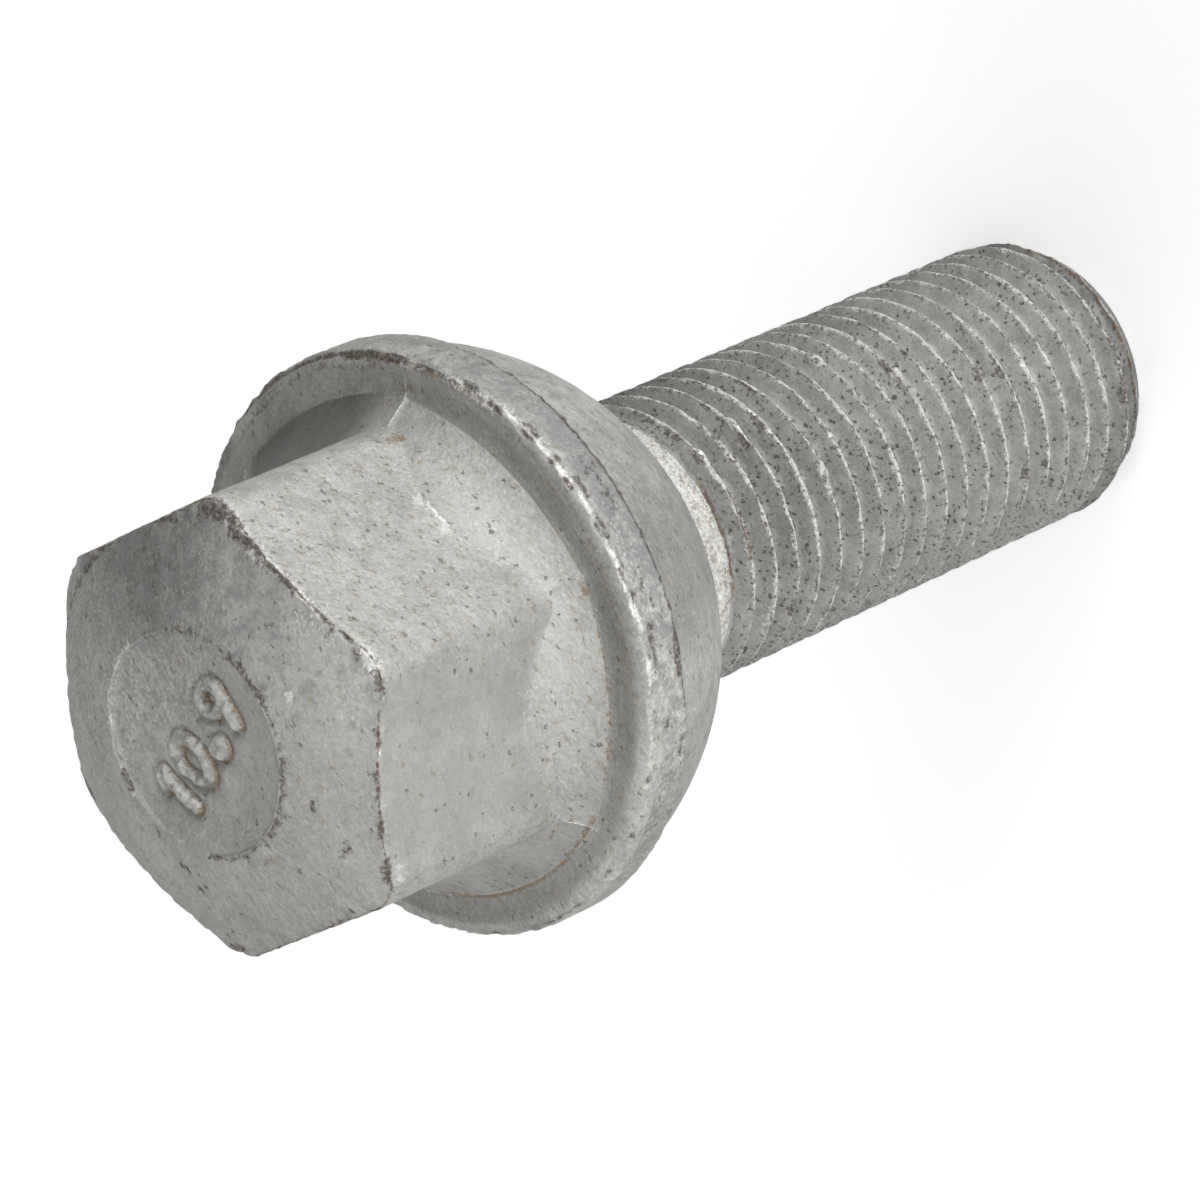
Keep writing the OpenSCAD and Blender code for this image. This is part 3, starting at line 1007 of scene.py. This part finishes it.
def addNode(tree, kind, settings=None, inputs=None):
    # inputs are plain values or sockets, by name or by number
    made = tree.nodes.new("ShaderNode" + kind)
    for name, value in (settings or {}).items():
        setattr(made, name, value)
    for name, value in (inputs or {}).items():
        if isinstance(value, bpy.types.NodeSocket):
            tree.links.new(value, made.inputs[name])
        else:
            made.inputs[name].default_value = value
    return made


def calc(tree, operation, first, second=0.0, third=0.0):
    return addNode(tree, "Math", {"operation": operation}, {0: first, 1: second, 2: third}).outputs[0]


def vectorCalc(tree, operation, first, second):
    return addNode(tree, "VectorMath", {"operation": operation}, {0: first, 1: second}).outputs[0]


def ramp(tree, value, low, high, toLow=0.0, toHigh=1.0):
    settings = {"interpolation_type": "SMOOTHSTEP"}
    inputs = {"Value": value, "From Min": low, "From Max": high, "To Min": toLow, "To Max": toHigh}
    return addNode(tree, "MapRange", settings, inputs).outputs["Result"]


def swing(tree, start, parts):
    # start, and each value's swing about one half times its weight
    total = start
    for value, weight in parts:
        total = calc(tree, "MULTIPLY_ADD", value, weight, total)
        total = calc(tree, "MULTIPLY_ADD", weight, -0.5, total)
    return total


def scaled(tree, vector, times):
    return addNode(tree, "VectorMath", {"operation": "SCALE"}, {0: vector, "Scale": times}).outputs[0]


def blendColour(tree, factor, under, over):
    return addNode(tree, "Mix", {"data_type": "RGBA"}, {0: factor, 6: under, 7: over}).outputs[2]


def noiseNode(tree, place, size, detail=2.0, roughness=0.55, seed=0.0):
    # size in millimetres
    scale = calc(tree, "DIVIDE", 1.0, size) if isinstance(size, bpy.types.NodeSocket) else 1.0 / size
    moved = vectorCalc(tree, "ADD", place, (seed * 13.1, seed * 7.7, seed * 3.3))
    inputs = {"Vector": moved, "Scale": scale, "Detail": detail, "Roughness": roughness}
    return addNode(tree, "TexNoise", None, inputs)


def stretchAlong(tree, place, direction, times):
    # the place squeezed along one direction, so that textures read from it are stretched that way
    along = addNode(tree, "VectorMath", {"operation": "DOT_PRODUCT"}, {0: place, 1: direction})
    back = scaled(tree, direction, calc(tree, "MULTIPLY", along.outputs["Value"], 1 / times - 1))
    return vectorCalc(tree, "ADD", place, back)


def newGroup(name, inputs, outputs):
    group = bpy.data.node_groups.new(name, "ShaderNodeTree")
    for label, value in inputs.items():
        kind = "NodeSocketVector" if value is None else "NodeSocketFloat"
        socket = group.interface.new_socket(name=label, in_out="INPUT", socket_type=kind)
        if value is not None:
            socket.default_value = value
    for label in outputs:
        group.interface.new_socket(name=label, in_out="OUTPUT", socket_type="NodeSocketFloat")
    return group, group.nodes.new("NodeGroupInput").outputs, group.nodes.new("NodeGroupOutput").inputs


def makePitGroup():
    # small irregular pits, scattered by cells
    inputs = {"Place": None, "Size": 0.3, "Amount": 0.3, "Warp": 0.5, "Least": 0.08, "Most": 0.3}
    group, given, put = newGroup("coatPits", inputs, ["Mask"])
    bend = noiseNode(group, given["Place"], calc(group, "MULTIPLY", given["Size"], 0.35), 2.0)
    centred = vectorCalc(group, "SUBTRACT", bend.outputs["Color"], (0.5, 0.5, 0.5))
    reach = calc(group, "MULTIPLY", given["Size"], given["Warp"])
    place = vectorCalc(group, "ADD", given["Place"], scaled(group, centred, reach))
    scale = calc(group, "DIVIDE", 1.0, given["Size"])
    cells = addNode(group, "TexVoronoi", None, {"Vector": place, "Scale": scale})
    parts = addNode(group, "SeparateColor", None, {"Color": cells.outputs["Color"]})
    present = calc(group, "LESS_THAN", parts.outputs[0], given["Amount"])
    spread = {"Value": parts.outputs[1], "To Min": given["Least"], "To Max": given["Most"]}
    radius = addNode(group, "MapRange", None, spread).outputs[0]
    spot = ramp(group, cells.outputs["Distance"], radius, calc(group, "MULTIPLY", radius, 0.5))
    group.links.new(calc(group, "MULTIPLY", spot, present), put["Mask"])
    return group


def makePatchGroup():
    # ragged patches where Amount is high, with edges broken by noise
    inputs = {"Place": None, "Amount": 0.5, "Size": 0.3, "Ragged": 1.5, "Soft": 0.08}
    group, given, put = newGroup("raggedPatch", inputs, ["Mask"])
    shape = noiseNode(group, given["Place"], given["Size"], 4.0, 0.7)
    broken = swing(group, given["Amount"], [(shape.outputs[0], given["Ragged"])])
    low = calc(group, "SUBTRACT", 0.5, given["Soft"])
    high = calc(group, "ADD", 0.5, given["Soft"])
    mask = ramp(group, broken, low, high)
    there = ramp(group, given["Amount"], 0.0, 0.1)
    worn = noiseNode(group, given["Place"], calc(group, "MULTIPLY", given["Size"], 0.6), 2.0, 0.6, 5.0)
    mask = calc(group, "MULTIPLY", mask, ramp(group, worn.outputs[0], 0.3, 0.62, 0.35, 1.0))
    group.links.new(calc(group, "MULTIPLY", mask, there), put["Mask"])
    return group


def makeGrainGroup():
    # grain of the coating, for tone and for relief: how many times its size each part is, detail and seed
    scales = {
        "Fine": (1.0, 3.0, 0.0),
        "Middle": (2.4, 2.0, 1.0),
        "Coarse": (7.0, 3.0, 2.0),
        "Cloud": (24.0, 3.0, 3.0),
    }
    group, given, put = newGroup("coatGrain", {"Place": None, "Size": 0.12}, list(scales))
    for label, (times, detail, seed) in scales.items():
        size = calc(group, "MULTIPLY", given["Size"], times)
        value = noiseNode(group, given["Place"], size, detail, 0.6, seed)
        group.links.new(value.outputs[0], put[label])
    return group


pitGroup = makePitGroup()
patchGroup = makePatchGroup()
grainGroup = makeGrainGroup()


def useGroup(tree, group, **inputs):
    return addNode(tree, "Group", {"node_tree": group}, inputs).outputs


zincLook = {
    "olive": (0.33, 0.275, 0.18, 1),
    "blue": (0.29, 0.30, 0.305, 1),
    "pit": (0.155, 0.13, 0.10, 1),
    "speck": (0.115, 0.105, 0.088, 1),
    "chip": (0.115, 0.082, 0.066, 1),
    "rust": (0.26, 0.17, 0.085, 1),
    "bareAndHighlight": (0.90, 0.89, 0.86, 1),
    "metallic": 0.5,
    "bareMetallic": 0.45,
    "roughness": 0.55,
    "bareSmooth": -0.15,         # bare metal and painted highlights are this much less rough
    "grainSize": 0.12,
    "mottle": ((0, 0, 0), 0.8, 2.4, 0.22),   # where in the noise it is read, size, raggedness, softness
}


def startMaterial(name):
    material = bpy.data.materials.new(name)
    material.use_nodes = True
    tree = material.node_tree
    place = scaled(tree, addNode(tree, "TexCoord").outputs["Object"], 1 / mm)
    return material, tree, tree.nodes["Principled BSDF"], place


def reading(tree, name):
    return addNode(tree, "Attribute", {"attribute_name": name}).outputs["Fac"]


def nearLine(tree, name, width, strength, centre=0.0):
    # strength on a line of the skin, falling to 0 at its width
    aside = calc(tree, "ABSOLUTE", calc(tree, "SUBTRACT", reading(tree, name), centre))
    return calc(tree, "MULTIPLY", ramp(tree, aside, width, 0.0), strength)


def larger(tree, *amounts):
    total = amounts[0]
    for amount in amounts[1:]:
        total = calc(tree, "MAXIMUM", total, amount)
    return total


def patchOver(tree, place, amount, step, size, ragged, soft):
    # ragged patches, each kind read from its own part of the noise
    moved = vectorCalc(tree, "ADD", place, step)
    return useGroup(tree, patchGroup, Place=moved, Amount=amount, Size=size, Ragged=ragged, Soft=soft)["Mask"]


def pitsOver(tree, place, amount, shape):
    return useGroup(tree, pitGroup, Place=place, Amount=amount, **shape)["Mask"]


def paint(tree, colour, mask, strength, over):
    return blendColour(tree, calc(tree, "MULTIPLY", mask, strength), colour, over)


def finishMaterial(tree, shader, colour, height, cloud, bright, dark):
    # bright patches, bare metal and painted highlights alike, are smoother than the coating
    bareAndHighlight = calc(tree, "MULTIPLY", bright, calc(tree, "SUBTRACT", 1.0, dark))
    roughness = ramp(tree, cloud, 0.3, 0.7, zincLook["roughness"] - 0.05, zincLook["roughness"] + 0.08)
    roughness = calc(tree, "MULTIPLY_ADD", bareAndHighlight, zincLook["bareSmooth"], roughness)
    metallic = ramp(tree, bareAndHighlight, 0.0, 1.0, zincLook["metallic"], zincLook["bareMetallic"])
    bump = addNode(tree, "Bump", None, {"Strength": 1.0, "Distance": mm, "Height": height})
    tree.links.new(colour, shader.inputs["Base Color"])
    tree.links.new(roughness, shader.inputs["Roughness"])
    tree.links.new(metallic, shader.inputs["Metallic"])
    tree.links.new(bump.outputs[0], shader.inputs["Normal"])


headFinish = {
    "coat": (0.452, 0.450, 0.425),
    "drawn": (-0.889, 0.111, -0.444),    # the way the grain, the specks and the streaks run
    "grainStretch": 1.6,
    "streakStretch": 7.0,
    "streakSize": 0.15,
    "specks": {"Size": 0.42, "Warp": 1.4, "Least": 0.2, "Most": 0.42},
    "pits": {"Size": 0.3, "Warp": 1.4, "Least": 0.2, "Most": 0.4},
    # patches: where in the noise they are read, size, raggedness and softness
    "dark": ((0, 0, 0), 0.32, 2.2, 0.22),
    "bright": ((5, 2, 1), 0.2, 2.5, 0.22),
    "brown": ((1, 4, 9), 0.24, 2.4, 0.18),
    # worn lines, and lines of painted highlight and painted shadow: the gap that they follow, width, strength
    # and middle
    "darkEdge": ("edgeGap", 0.14, 0.58, 0.02),
    # painted shadow in the seam at the band's foot
    "seamShadow": ("seamGap", 0.2, 0.62),
    # painted highlight on the lit side of the flash ridges
    "ridgeHighlight": ("ridgeGap", 0.1, 0.52),
    # pale burr along the coves' start, with a painted highlight on its crease
    "startBurrAndHighlight": ("startGap", 0.12, 0.34),
    "brightEdge": ("edgeGap", 0.3, 0.4, -0.24),
    "brownEdge": ("edgeGap", 0.24, 0.44),
    "brownMarkAndShadow": ("markGap", 0.28, 0.85, 0.03),
    "startHighlight": ("startGap", 0.7, 1.0, -0.35),
}


def makeHeadMaterial():
    look = zincLook
    finish = headFinish
    material, tree, shader, place = startMaterial("forgedZinc")
    toneAndShade, pitted, grainy = (reading(tree, name) for name in ("toneAndShade", "pitted", "grainy"))
    stretched = stretchAlong(tree, place, finish["drawn"], finish["grainStretch"])
    grain = useGroup(tree, grainGroup, Place=stretched, Size=look["grainSize"])
    drawn = stretchAlong(tree, place, finish["drawn"], finish["streakStretch"])
    streaks = noiseNode(tree, drawn, finish["streakSize"], 3.0, 0.6).outputs[0]

    def byGrain(weight):
        return calc(tree, "MULTIPLY", grainy, weight)

    def line(kind):
        return nearLine(tree, *finish[kind])

    # tone of the coating, with a painted highlight on the mark's strokes, which are also worn lighter, and a
    # painted highlight along the top of the coves
    shade = swing(tree, 1.0, [
        (grain["Cloud"], 0.5), (grain["Coarse"], byGrain(0.42)), (streaks, byGrain(0.26)),
        (grain["Middle"], byGrain(0.4)), (grain["Fine"], byGrain(0.75)),
    ])
    shade = calc(tree, "MULTIPLY_ADD", ramp(tree, reading(tree, "markGap"), 0.0, -0.22), 0.08, shade)
    shade = calc(tree, "MULTIPLY_ADD", line("startHighlight"), 0.1, shade)
    colour = scaled(tree, finish["coat"], calc(tree, "MULTIPLY", shade, toneAndShade))
    mottle = patchOver(tree, place, reading(tree, "mottled"), *look["mottle"])
    colour = paint(tree, colour, mottle, 0.75, look["blue"])
    # specks and pits
    olive = pitsOver(tree, stretched, calc(tree, "MULTIPLY", pitted, 0.95), finish["specks"])
    pits = pitsOver(tree, stretched, calc(tree, "MULTIPLY", pitted, 0.4), finish["pits"])
    colour = paint(tree, colour, olive, 0.55, look["olive"])
    colour = paint(tree, colour, pits, 0.7, look["pit"])
    # fine light flecks: bare metal, and painted glints
    colour = paint(tree, colour, ramp(tree, grain["Fine"], 0.63, 0.75), byGrain(0.35), look["bareAndHighlight"])
    # lines and patches of wear, with painted highlights on the flash ridges and the coves' start, and painted
    # shadow in the seam
    darkAmount = larger(tree, reading(tree, "dark"), line("darkEdge"), line("seamShadow"))
    rubbedEdge = calc(tree, "MULTIPLY", line("brightEdge"), grainy)
    brightAmount = larger(tree, reading(tree, "bright"), line("ridgeHighlight"), line("startBurrAndHighlight"), rubbedEdge)
    # brown round the strokes, only on their side away from the light: dirt, and painted shadow
    markDirtAndShadow = calc(tree, "MULTIPLY", line("brownMarkAndShadow"), reading(tree, "markSide"))
    brownAmount = larger(tree, reading(tree, "brown"), markDirtAndShadow, line("brownEdge"))
    dark = patchOver(tree, place, darkAmount, *finish["dark"])
    bright = patchOver(tree, place, brightAmount, *finish["bright"])
    brown = patchOver(tree, place, brownAmount, *finish["brown"])
    colour = paint(tree, colour, bright, 0.88, look["bareAndHighlight"])
    colour = paint(tree, colour, brown, 0.8, look["rust"])
    colour = paint(tree, colour, dark, 0.9, look["chip"])
    # relief in millimetres
    relief = swing(tree, 0.0, [(grain["Fine"], byGrain(0.016)), (grain["Middle"], byGrain(0.03))])
    for mask, rise in ((pits, -0.03), (dark, -0.03), (bright, 0.02)):
        relief = calc(tree, "MULTIPLY_ADD", mask, rise, relief)
    finishMaterial(tree, shader, colour, relief, grain["Coarse"], bright, dark)
    return material


threadFinish = {
    "coat": (0.449, 0.450, 0.432),
    "pits": {"Size": 0.3, "Warp": 1.3, "Least": 0.18, "Most": 0.4},
    "crestWidth": 0.16,
    # patches: where in the noise they are read, size, raggedness and softness
    "dark": ((3, 7, 2), 0.22, 2.6, 0.14),
    "bright": ((0, 0, 0), 0.24, 2.2, 0.25),
    "brown": ((0, 0, 0), 0.24, 2.0, 0.16),
    # dark flecks along the crests, and painted shadow in the root below them: the gap that it follows, width,
    # strength and middle
    "soilBeside": ("crestGap", 0.3, 0.4, 0.05),
    "shadowBelow": ("crestGap", 0.16, 0.42, 0.62),
}


def makeThreadMaterial():
    look = zincLook
    finish = threadFinish
    material, tree, shader, place = startMaterial("rolledZinc")
    toneAndShade, pitted, grainy = (reading(tree, name) for name in ("toneAndShade", "pitted", "grainy"))
    grain = useGroup(tree, grainGroup, Place=place, Size=look["grainSize"])

    def byGrain(weight):
        return calc(tree, "MULTIPLY", grainy, weight)

    shade = swing(tree, 1.0, [
        (grain["Cloud"], 0.45), (grain["Coarse"], 0.5), (grain["Middle"], 0.4), (grain["Fine"], byGrain(0.6)),
    ])
    colour = scaled(tree, finish["coat"], calc(tree, "MULTIPLY", shade, toneAndShade))
    mottle = patchOver(tree, place, reading(tree, "mottled"), *look["mottle"])
    pits = pitsOver(tree, place, pitted, finish["pits"])
    colour = paint(tree, colour, mottle, 0.4, look["blue"])
    # fine light flecks: bare metal, and painted glints
    colour = paint(tree, colour, ramp(tree, grain["Fine"], 0.64, 0.76), 0.3, look["bareAndHighlight"])
    colour = paint(tree, colour, pits, 0.95, look["speck"])
    # crests rubbed bare and painted as highlights, with dark flecks along them and painted shadow in the root
    # below them
    crestAside = calc(tree, "DIVIDE", calc(tree, "ABSOLUTE", reading(tree, "crestGap")), finish["crestWidth"])
    crestBareAndHighlight = calc(tree, "MAXIMUM", calc(tree, "SUBTRACT", reading(tree, "crestLit"), crestAside), 0.0)
    brightAmount = larger(tree, reading(tree, "bright"), crestBareAndHighlight)
    fleckAndShadow = (nearLine(tree, *finish[kind]) for kind in ("soilBeside", "shadowBelow"))
    darkAmount = larger(tree, reading(tree, "dark"), *fleckAndShadow)
    dark = patchOver(tree, place, darkAmount, *finish["dark"])
    bright = patchOver(tree, place, brightAmount, *finish["bright"])
    brown = patchOver(tree, place, reading(tree, "brown"), *finish["brown"])
    colour = paint(tree, colour, bright, 0.95, look["bareAndHighlight"])
    colour = paint(tree, colour, brown, 0.85, look["rust"])
    colour = paint(tree, colour, dark, 0.85, look["chip"])
    # relief in millimetres
    relief = swing(tree, 0.0, [(grain["Fine"], byGrain(0.012)), (grain["Middle"], byGrain(0.02))])
    for mask, rise in ((pits, -0.04), (dark, -0.03), (bright, 0.015)):
        relief = calc(tree, "MULTIPLY_ADD", mask, rise, relief)
    finishMaterial(tree, shader, colour, relief, grain["Coarse"], bright, dark)
    return material


skinMesh.materials.append(makeHeadMaterial())
skinMesh.materials.append(makeThreadMaterial())
faceRegion = np.array([marks["region"][polygon.vertices[0]] for polygon in skinMesh.polygons])
skinMesh.polygons.foreach_set("material_index", (faceRegion == threadSkin).astype(int))
print("materials made")


# Floor, light and camera

studio = {
    "floorSize": 4.0,
    "floorColour": (0.9, 0.9, 0.9, 1),
    "floorRoughness": 0.9,
    "floorGlow": 0.46,           # seen by the camera only, brings the lit floor up to white
    "worldStrength": 0.1,
    "sunSpread": 45,             # wide suns, as soft as studio boxes
    "lens": 200.09,
    "cameraPlace": (1.833, -220.517, 235.734),
    "cameraForward": (-0.010749, 0.735273, -0.677686),
    "cameraRight": (-0.398883, -0.624621, -0.671372),
}


def makeFloor():
    half = studio["floorSize"] / 2
    mesh = bpy.data.meshes.new("floorSheet")
    corners = [(-half, -half, 0), (half, -half, 0), (half, half, 0), (-half, half, 0)]
    mesh.from_pydata(corners, [], [(0, 1, 2, 3)])
    floor = bpy.data.objects.new("studioFloor", mesh)
    bpy.context.scene.collection.objects.link(floor)
    material = bpy.data.materials.new("paleFloor")
    material.use_nodes = True
    tree = material.node_tree
    shader = tree.nodes["Principled BSDF"]
    shader.inputs["Base Color"].default_value = studio["floorColour"]
    shader.inputs["Roughness"].default_value = studio["floorRoughness"]
    path = addNode(tree, "LightPath")
    seen = calc(tree, "MULTIPLY", path.outputs["Is Camera Ray"], studio["floorGlow"])
    shader.inputs["Emission Color"].default_value = (1, 1, 1, 1)
    tree.links.new(seen, shader.inputs["Emission Strength"])
    mesh.materials.append(material)


def makeWorld():
    world = bpy.data.worlds.new("softStudio")
    world.use_nodes = True
    tree = world.node_tree
    background = tree.nodes["Background"]
    background.inputs["Color"].default_value = (1, 1, 1, 1)
    path = addNode(tree, "LightPath")
    strength = studio["worldStrength"]
    seen = calc(tree, "MULTIPLY_ADD", path.outputs["Is Camera Ray"], 1 - strength, strength)
    tree.links.new(seen, background.inputs["Strength"])
    bpy.context.scene.world = world


suns = {
    # name: azimuth, height above the floor, strength
    "keyRight": (315, 10, 1.83),
    "keyFront": (270, 10, 1.43),
    "keyLeft": (225, 10, 0.91),
    "fillLeft": (180, 10, 0.40),
    "fillBack": (90, 10, 0.40),
    "fillHigh": (135, 55, 0.60),
    "topSoft": (0, 90, 0.30),
}


def makeSuns():
    for name, (azimuth, elevation, strength) in suns.items():
        light = bpy.data.lights.new(name, "SUN")
        light.energy = strength
        light.angle = math.radians(studio["sunSpread"])
        lamp = bpy.data.objects.new(name, light)
        turn, tilt = math.radians(azimuth), math.radians(elevation)
        away = Vector((math.cos(turn) * math.cos(tilt), math.sin(turn) * math.cos(tilt), math.sin(tilt)))
        lamp.rotation_mode = "QUATERNION"
        lamp.rotation_quaternion = away.to_track_quat("Z", "Y")
        bpy.context.scene.collection.objects.link(lamp)


def makeCamera():
    cameraData = bpy.data.cameras.new("photoCamera")
    cameraData.sensor_width = 36
    cameraData.lens = studio["lens"]
    cameraData.clip_start = 0.01
    camera = bpy.data.objects.new("photoCamera", cameraData)
    back = -Vector(studio["cameraForward"]).normalized()
    right = Vector(studio["cameraRight"]).normalized()
    up = back.cross(right).normalized()
    right = up.cross(back)
    turn = Matrix((right, up, back)).transposed().to_4x4()
    camera.matrix_world = Matrix.Translation(Vector(studio["cameraPlace"]) * mm) @ turn
    bpy.context.scene.collection.objects.link(camera)
    bpy.context.scene.camera = camera


makeFloor()
makeWorld()
makeSuns()
makeCamera()
bpy.context.scene.view_settings.view_transform = "Standard"
print("studio ready")
